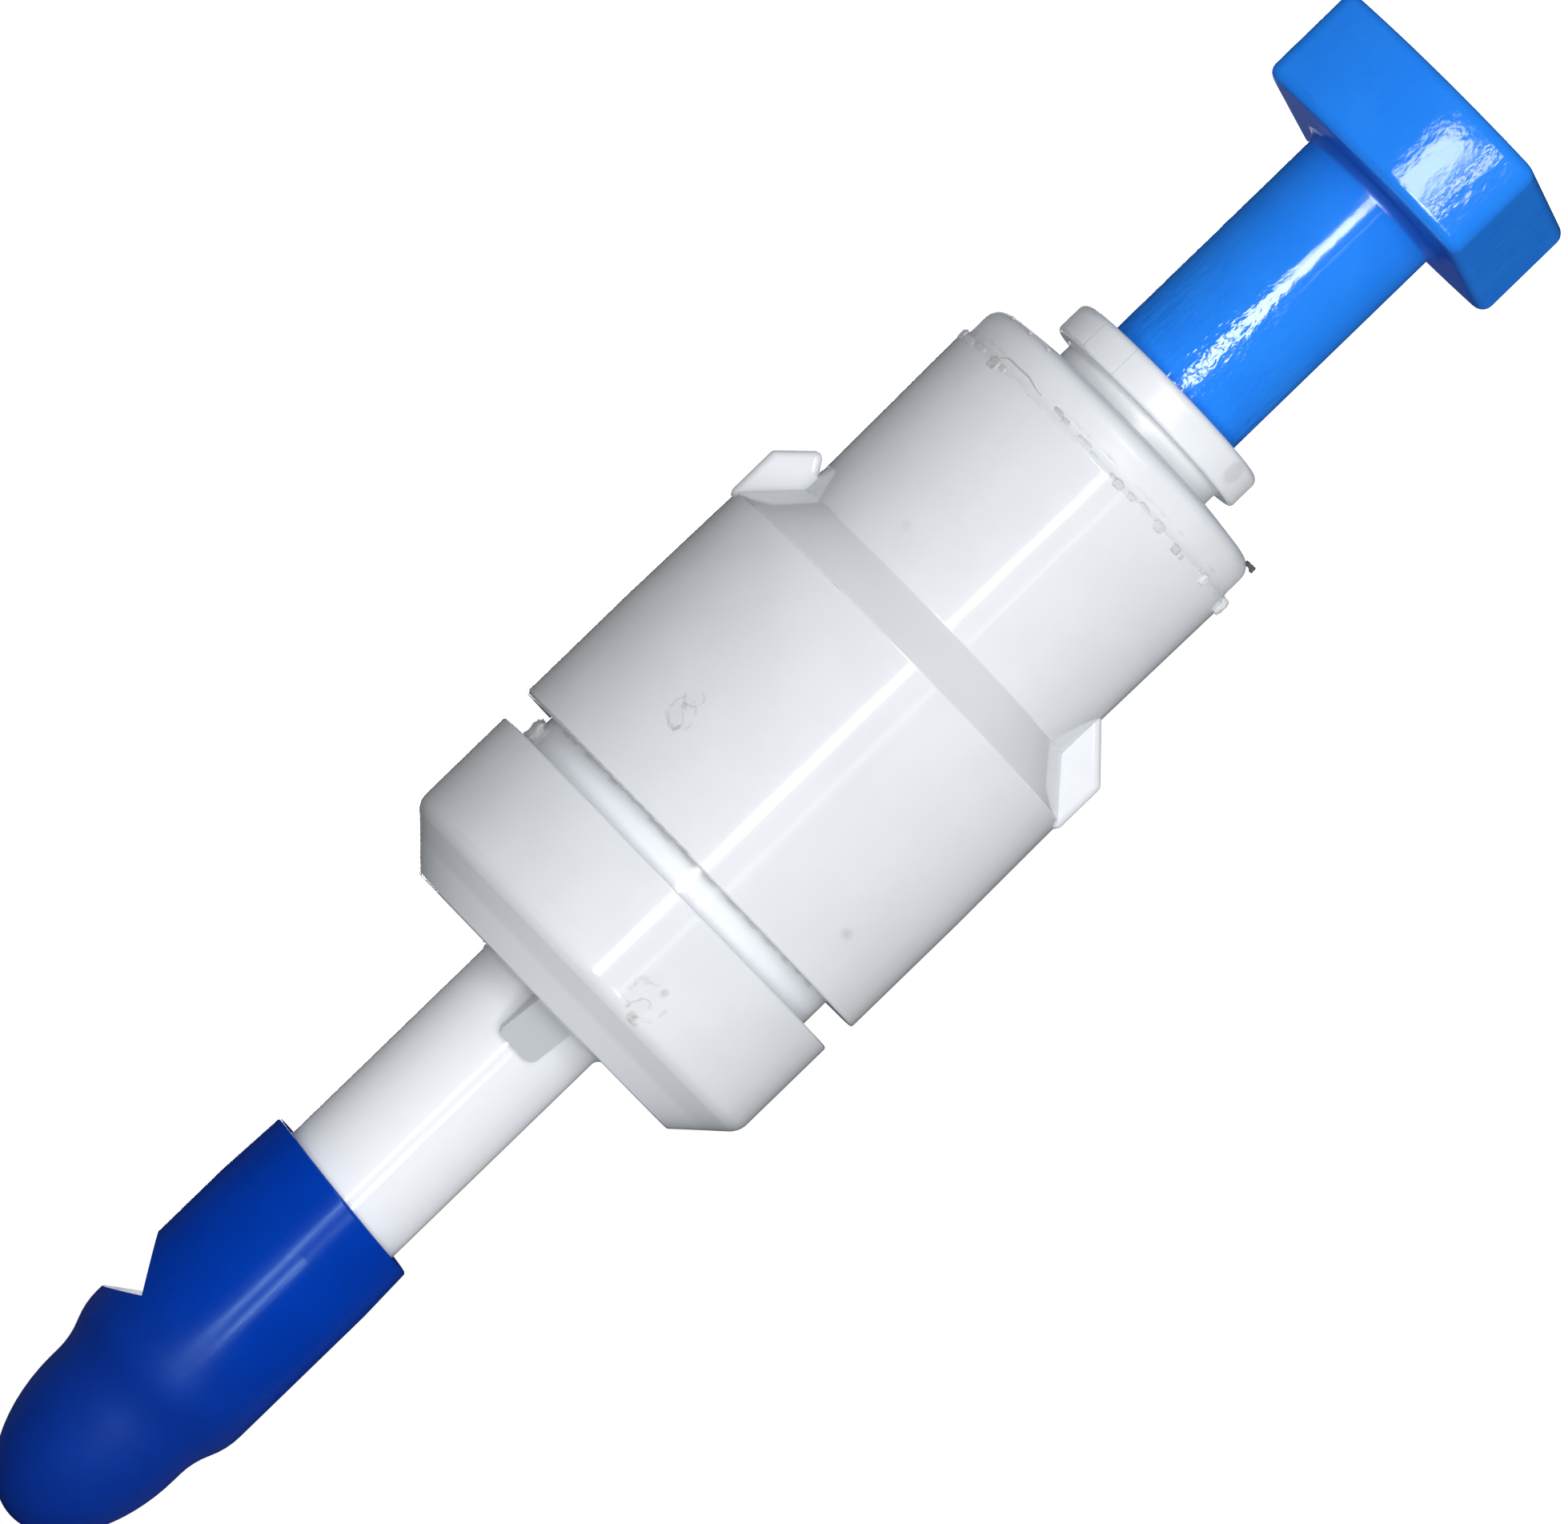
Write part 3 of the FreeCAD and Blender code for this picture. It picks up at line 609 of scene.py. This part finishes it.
def chip(angle, radius, height, sizes, stain_and_shade, seed):
    """Torn chip: an ellipsoid over two angles, squared off by roots of its sines and cosines, with its skin
    pushed in and out by waves of both."""
    u = np.linspace(0, 2 * np.pi, CHIP_AROUND, endpoint=False)[:, None]
    v = np.linspace(0, np.pi, CHIP_ALONG)[None, :]
    random = np.random.default_rng(seed)
    skin = np.ones((CHIP_AROUND, CHIP_ALONG))
    for _ in range(8):
        f, g = random.integers(1, 7, 2)
        p, q = random.uniform(0, 2 * np.pi, 2)
        skin += 0.10 * np.sin(f * u + p) * np.sin(g * v) * np.cos(q + g * v)
    out_size, side_size, tall_size = sizes
    ring = np.sin(v) ** CHIP_SQUARENESS
    out = radius + out_size * skin * ring * np.cos(u)
    side = side_size * skin * ring * np.sign(np.sin(u)) * np.abs(np.sin(u)) ** CHIP_SQUARENESS
    z = height + tall_size * skin * np.sign(np.cos(v)) * np.abs(np.cos(v)) ** CHIP_SQUARENESS
    c = math.cos(math.radians(angle))
    s = math.sin(math.radians(angle))
    return *pod_skin(np.stack([out * c - side * s, out * s + side * c, z], -1)), stain_and_shade


def thread(points, radius, thick, stain_and_shade):
    """Hair of plastic through (angle, rise) points on a cylinder: a circle carried along the smoothed path,
    which shrinks to a point at both ends."""
    stops = np.array(points)
    along = np.linspace(0, len(stops) - 1, THREAD_STEPS)
    smooth = np.hanning(THREAD_SMOOTHING) / np.hanning(THREAD_SMOOTHING).sum()
    path = []
    for part in stops.T:
        straight = np.interp(along, np.arange(len(stops)), part)
        path.append(np.convolve(np.pad(straight, THREAD_SMOOTHING // 2, "edge"), smooth, "valid"))
    arc = np.radians(path[0]) * radius
    rise = SEAM_Z + path[1] * MM
    length = np.hypot(np.gradient(arc), np.gradient(rise))
    girth = thick * np.sqrt(np.clip(1 - np.linspace(-1, 1, len(along)) ** 6, 0, 1))
    turn = np.linspace(0, 2 * np.pi, THREAD_SIDES, endpoint=False)[:, None]
    angle = (arc - girth * np.sin(turn) * np.gradient(rise) / length) / radius
    z = rise + girth * np.sin(turn) * np.gradient(arc) / length
    r = radius + girth * np.cos(turn)
    return *pod_skin(np.stack([r * np.cos(angle), r * np.sin(angle), z], -1)), stain_and_shade


def seam_chips():
    """Chips along the seam: the table's in front, and ones at seeded places round the back."""
    random = np.random.default_rng(8)
    angles = np.linspace(12.0, 172.0, HIDDEN_CHIPS) + random.uniform(-4, 4, HIDDEN_CHIPS)
    around = random.uniform(0.14, 0.36, HIDDEN_CHIPS)
    rises = random.uniform(-0.2, 0.14, HIDDEN_CHIPS)
    hidden = [(a, rise, 0.09, side, 0.14, 0.45) for a, rise, side in zip(angles, rises, around)]
    chips = []
    for number, (angle, rise, out, side, tall, stain_and_shade) in enumerate((*SEAM_CHIPS, *hidden)):
        t = (rise * MM + FILLET_DROP) / FILLET_HEIGHT
        radius = fillet_radius(min(max(t, 0), 1)) - 0.02 * MM
        sizes = (CHIP_FLATNESS * out * MM, side * MM, tall * MM)
        chips.append(chip(angle, radius, SEAM_Z + rise * MM, sizes, CHIP_PALENESS * stain_and_shade, 40 + number))
    return chips


def paint(node, material):
    """Gives a CAD node its finish."""
    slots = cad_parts[node].material_slots
    for slot in slots:
        slot.material = material


def view_axes():
    """Right, up and back directions of the camera, which is rolled so that the axis lies slanting."""
    e = math.radians(VIEW_ELEVATION)
    a = math.sin(math.radians(AXIS_ANGLE))
    b = math.cos(math.radians(AXIS_ANGLE))
    back = Vector((0, -math.cos(e), math.sin(e)))
    side = Vector((1, 0, 0))
    rise = Vector((0, math.sin(e), math.cos(e)))
    return a * side + b * rise, -b * side + a * rise, back


def add_camera():
    right, up, back = view_axes()
    data = bpy.data.cameras.new("camera")
    data.sensor_width = SENSOR_WIDTH
    data.lens = SENSOR_WIDTH * VIEW_DISTANCE / VIEW_WIDTH
    data.clip_start = 10 * MM
    data.clip_end = 20.0
    camera = bpy.data.objects.new("camera", data)
    bpy.context.scene.collection.objects.link(camera)
    target = Vector((VIEW_SIDE, 0, VIEW_HEIGHT))
    turn = Matrix((right, up, back)).transposed().to_4x4()
    camera.matrix_world = Matrix.Translation(target + back * VIEW_DISTANCE) @ turn
    bpy.context.scene.camera = camera


def add_lamp(name, azimuth, elevation, distance, wide, tall, power, mirrored):
    """Soft lamp aimed at the middle of the cartridge. Azimuth and elevation are as for the views."""
    a = math.radians(azimuth)
    e = math.radians(elevation)
    back = Vector((math.sin(a) * math.cos(e), -math.cos(a) * math.cos(e), math.sin(e)))
    data = bpy.data.lights.new(name, "AREA")
    data.shape = "RECTANGLE"
    data.size = wide
    data.size_y = tall
    data.energy = power
    lamp = bpy.data.objects.new(name, data)
    bpy.context.scene.collection.objects.link(lamp)
    lamp.rotation_mode = "QUATERNION"
    lamp.rotation_quaternion = (-back).to_track_quat("-Z", "Y")
    lamp.location = Vector((0, 0, VIEW_HEIGHT)) + back * distance
    lamp.visible_camera = False
    lamp.visible_glossy = mirrored


def white_to_camera(tree, shade, output, white):
    """Shows plain white to camera, mirror and glass rays, and the given shader to all other rays."""
    path = tree.nodes.new("ShaderNodeLightPath")
    seen = tree.nodes.new("ShaderNodeMath")
    seen.operation = "MAXIMUM"
    tree.links.new(path.outputs["Is Camera Ray"], seen.inputs[0])
    tree.links.new(path.outputs["Is Glossy Ray"], seen.inputs[1])
    also = tree.nodes.new("ShaderNodeMath")
    also.operation = "MAXIMUM"
    tree.links.new(seen.outputs[0], also.inputs[0])
    tree.links.new(path.outputs["Is Transmission Ray"], also.inputs[1])
    mix = tree.nodes.new("ShaderNodeMixShader")
    tree.links.new(also.outputs[0], mix.inputs[0])
    tree.links.new(shade.outputs[0], mix.inputs[1])
    tree.links.new(white.outputs[0], mix.inputs[2])
    tree.links.new(mix.outputs[0], output.inputs["Surface"])


def add_world():
    world = bpy.data.worlds.new("studio")
    bpy.context.scene.world = world
    world.use_nodes = True
    tree = world.node_tree
    fill = tree.nodes["Background"]
    fill.inputs["Color"].default_value = (0.92, 0.96, 1.0, 1.0)
    fill.inputs["Strength"].default_value = 0.16
    white = tree.nodes.new("ShaderNodeBackground")
    white.inputs["Color"].default_value = (1, 1, 1, 1)
    white.inputs["Strength"].default_value = 1.0
    white_to_camera(tree, fill, tree.nodes["World Output"], white)


def add_floor():
    """Pale floor: white to the camera, darkened only where the cartridge shades it."""
    signs = ((-1, -1), (1, -1), (1, 1), (-1, 1))
    mesh = bpy.data.meshes.new("floor")
    mesh.from_pydata([(x * FLOOR_HALF, y * FLOOR_HALF, FLOOR_Z) for x, y in signs], [], [(0, 1, 2, 3)])
    floor = bpy.data.objects.new("floor", mesh)
    bpy.context.scene.collection.objects.link(floor)
    material = bpy.data.materials.new("floor")
    material.use_nodes = True
    tree = material.node_tree
    shader = tree.nodes["Principled BSDF"]
    shader.inputs["Base Color"].default_value = (0.8, 0.8, 0.8, 1)
    shader.inputs["Roughness"].default_value = 0.9
    glow = tree.nodes.new("ShaderNodeEmission")
    glow.inputs["Color"].default_value = (1, 1, 1, 1)
    glow.inputs["Strength"].default_value = 0.85
    both = tree.nodes.new("ShaderNodeAddShader")
    tree.links.new(glow.outputs[0], both.inputs[0])
    tree.links.new(shader.outputs[0], both.inputs[1])
    white_to_camera(tree, shader, tree.nodes["Material Output"], both)
    mesh.materials.append(material)
    floor.visible_shadow = False


def add_dark_surround():
    """Closed dark studio tent, seen only in reflections, so that gloss stays clear and colours deep."""
    turn = np.linspace(0, 2 * np.pi, TENT_SIDES, endpoint=False)
    low = np.stack([TENT_R * np.cos(turn), TENT_R * np.sin(turn), FLOOR_Z + TENT_LIFT + 0 * turn], -1)
    high = low + np.array([0, 0, TENT_HEIGHT])
    ring = list(range(TENT_SIDES))
    faces = [(k, (k + 1) % TENT_SIDES, TENT_SIDES + (k + 1) % TENT_SIDES, TENT_SIDES + k) for k in ring]
    faces += [ring, [TENT_SIDES + k for k in ring]]
    mesh = bpy.data.meshes.new("dark_surround")
    mesh.from_pydata(np.concatenate([low, high]).tolist(), [], faces)
    tent = bpy.data.objects.new("dark_surround", mesh)
    bpy.context.scene.collection.objects.link(tent)
    material = bpy.data.materials.new("dark_surround")
    material.use_nodes = True
    shader = material.node_tree.nodes["Principled BSDF"]
    shader.inputs["Base Color"].default_value = (0.02, 0.02, 0.02, 1)
    shader.inputs["Roughness"].default_value = 1.0
    shader.inputs["Specular IOR Level"].default_value = 0.0
    mesh.materials.append(material)
    tent.visible_camera = False
    tent.visible_diffuse = False
    tent.visible_shadow = False
    tent.visible_transmission = False


def add_card(name, corners, strength):
    """Glowing card inside the dark surround, seen only in reflections, which fades out towards its four
    sides. Its corners are near left, near right, far left and far right, in millimetres."""
    points = CARD_STEPS + 1
    across = np.linspace(0, 1, points)[:, None]
    along = np.linspace(0, 1, points)[None, :]
    near_left, near_right, far_left, far_right = np.array(corners) * MM
    s = across[..., None]
    t = along[..., None]
    grid = (near_left * (1 - s) + near_right * s) * (1 - t) + (far_left * (1 - s) + far_right * s) * t
    i, j = np.meshgrid(np.arange(CARD_STEPS), np.arange(CARD_STEPS), indexing="ij")
    here = points * i + j
    faces = np.stack([here, here + 1, here + points + 1, here + points], -1).reshape(-1, 4)
    mesh = bpy.data.meshes.new(name)
    mesh.from_pydata(grid.reshape(-1, 3).tolist(), [], faces.tolist())
    glow = np.clip(1.3 * np.sin(np.pi * across), 0, 1) * np.clip(6 * np.sin(np.pi * along), 0, 1)
    mesh.attributes.new("glow", "FLOAT", "POINT").data.foreach_set("value", glow.ravel().astype(np.float32))
    card = bpy.data.objects.new(name, mesh)
    bpy.context.scene.collection.objects.link(card)
    material = bpy.data.materials.new(name)
    material.use_nodes = True
    tree = material.node_tree
    tree.nodes.remove(tree.nodes["Principled BSDF"])
    fade = tree.nodes.new("ShaderNodeAttribute")
    fade.attribute_name = "glow"
    light = tree.nodes.new("ShaderNodeEmission")
    light.inputs["Strength"].default_value = strength
    tree.links.new(fade.outputs["Fac"], light.inputs["Color"])
    tree.links.new(light.outputs[0], tree.nodes["Material Output"].inputs["Surface"])
    mesh.materials.append(material)
    card.visible_camera = False
    card.visible_diffuse = False
    card.visible_shadow = False
    card.visible_transmission = False


def add_floor_card(name, azimuth, half, near, far, strength):
    """Card that lies on the floor of the dark surround, a wedge round an azimuth that points at the axis."""
    corners = []
    for distance in (near, far):
        for side in (azimuth - half, azimuth + half):
            a = math.radians(side)
            corners.append((distance * math.sin(a), -distance * math.cos(a), (FLOOR_Z + CARD_LIFT) / MM))
    add_card(name, corners, strength)


def dress_nodes():
    """Gives every solid its finish."""
    housing = moulded_white("housing_white", dirt=[
        ring_dirt(NECK_R, SEAM_Z, 0.16 * MM, 1.0, 0.35),
        ring_dirt(SPIGOT_R, GROOVE_Z, 0.16 * MM, 11.0, 0.3),
        smudge_dirt(BARREL_LOOPS, BARREL_SPECKS, 21.0, 0.27),
        faint_spot(-6.09 * MM, 38.3 * MM, 0.35 * MM, 0.3),
        faint_spot(3.31 * MM, 26.1 * MM, 0.3 * MM, 0.12),
    ], dents=[(dish(4.15 * MM, 36.65 * MM, 1.0 * MM, 1.7 * MM, 0.0), 0.012 * MM)])
    base = moulded_white("base_white", dirt=[
        paler_groove(),
        paler_stem(),
        # Painted shade on the stem's rib
        rib_painted_shade(),
        ring_dirt(SPIGOT_R, GROOVE_Z, 0.2 * MM, 12.0, 0.3),
        smudge_dirt(BASE_LOOPS, BASE_SPECKS, 31.0, 0.3),
    ], dents=[(dish(-2.7 * MM, 45.4 * MM, 1.1 * MM, 1.5 * MM, 0.0), 0.03 * MM)])
    socket = moulded_white("socket_white", 0.2, 0.3, dirt=[
        ring_dirt(SOCKET_CAP_R, SEAM_Z - 0.3 * MM, 0.25 * MM, 3.0, 0.3),
    ])
    paint("housing", housing)
    paint("base_cap", base)
    paint("socket_cap", socket)
    paint("collet", collet_white())
    paint("shipping_plug", plug_blue())
    paint("stem_cap", cap_blue())
    metal = {"Metallic": 1.0}
    steel = plain("tooth_steel", STEEL_GREY, STEEL_SHADE, 0.25, 0.3 * MM, 0.002 * MM, metal)
    inner = plain("inner_white", INNER_WHITE, INNER_SHADE, 0.4, 1.0 * MM, 0.002 * MM)
    rubber = plain("seal_black", SEAL_BLACK, SEAL_SHADE, 0.45, 0.4 * MM, 0.004 * MM)
    felt = plain("pad_felt", FELT_CREAM, FELT_SHADE, 0.85, 0.15 * MM, 0.05 * MM)
    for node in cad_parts:
        if node.startswith("grip_tooth"):
            paint(node, steel)
    for node in ("collet_sleeve", "ring_spacer", "inner_flow_plate", "outer_flow_plate"):
        paint(node, inner)
    for node in ("inner_filter_pad", "outer_filter_pad"):
        paint(node, felt)
    paint("sealing_ring", rubber)
    paint("resin_bed", resin_beads())


def dress_details():
    """Adds the weld's fillet, the flash and the burrs."""
    # Flash greyed by its stain_and_shade attribute: partly its own stain, partly painted shade
    flash = moulded_white("flash_white", 0.1, 0.4, dirt=[flash_grey_and_shade(FLASH_STAIN_AND_SHADE)])
    threads = [thread(points, SOCKET_CAP_R + 0.02 * MM, 0.03 * MM, 0.8) for points in SEAM_THREADS]
    add_piece("seam_fillet", [seam_fillet(7)], moulded_white("fillet_white", 0.2, 0.3))
    add_piece("seam_chips", seam_chips(), flash)
    add_piece("seam_threads", threads, flash)
    fin_sizes = (0.3 * MM, 0.8 * MM, 0.5 * MM)
    add_piece("groove_flash", [chip(-8.0, SPIGOT_R, GROOVE_Z + 0.8 * MM, fin_sizes, 0.45, 91)], flash)
    edge = CAP_FACE_Z + 0.3 * MM
    rim = SOCKET_CAP_R - 0.13 * MM
    burr_sizes = (0.06 * MM, 0.12 * MM, 0.05 * MM)
    burrs = []
    for number, angle in enumerate(BURR_ANGLES):
        burrs.append(chip(angle, rim, edge, burr_sizes, 0.5, 70 + number))
    add_piece("rim_burrs", burrs, flash)
    foot_sizes = (0.20 * MM, 0.13 * MM, 0.09 * MM)
    tip_sizes = (0.09 * MM, 0.09 * MM, 0.13 * MM)
    hook = [
        chip(HOOK_ANGLE, rim + 0.04 * MM, edge, foot_sizes, 1.0, 2),
        chip(HOOK_ANGLE, rim + 0.22 * MM, edge + 0.03 * MM, tip_sizes, 1.0, 5),
    ]
    add_piece("rim_hook", hook, moulded_white("burr_grey", 0.1, 0.4, dirt=[flash_grey_and_shade(BURR_GREY)]))


dress_nodes()
dress_details()
add_world()
add_floor()
add_dark_surround()
add_camera()
for lamp in LAMPS:
    add_lamp(*lamp)
for card in CARDS:
    add_card(*card)
for card in FLOOR_CARDS:
    add_floor_card(*card)
bpy.context.scene.view_settings.view_transform = "Standard"
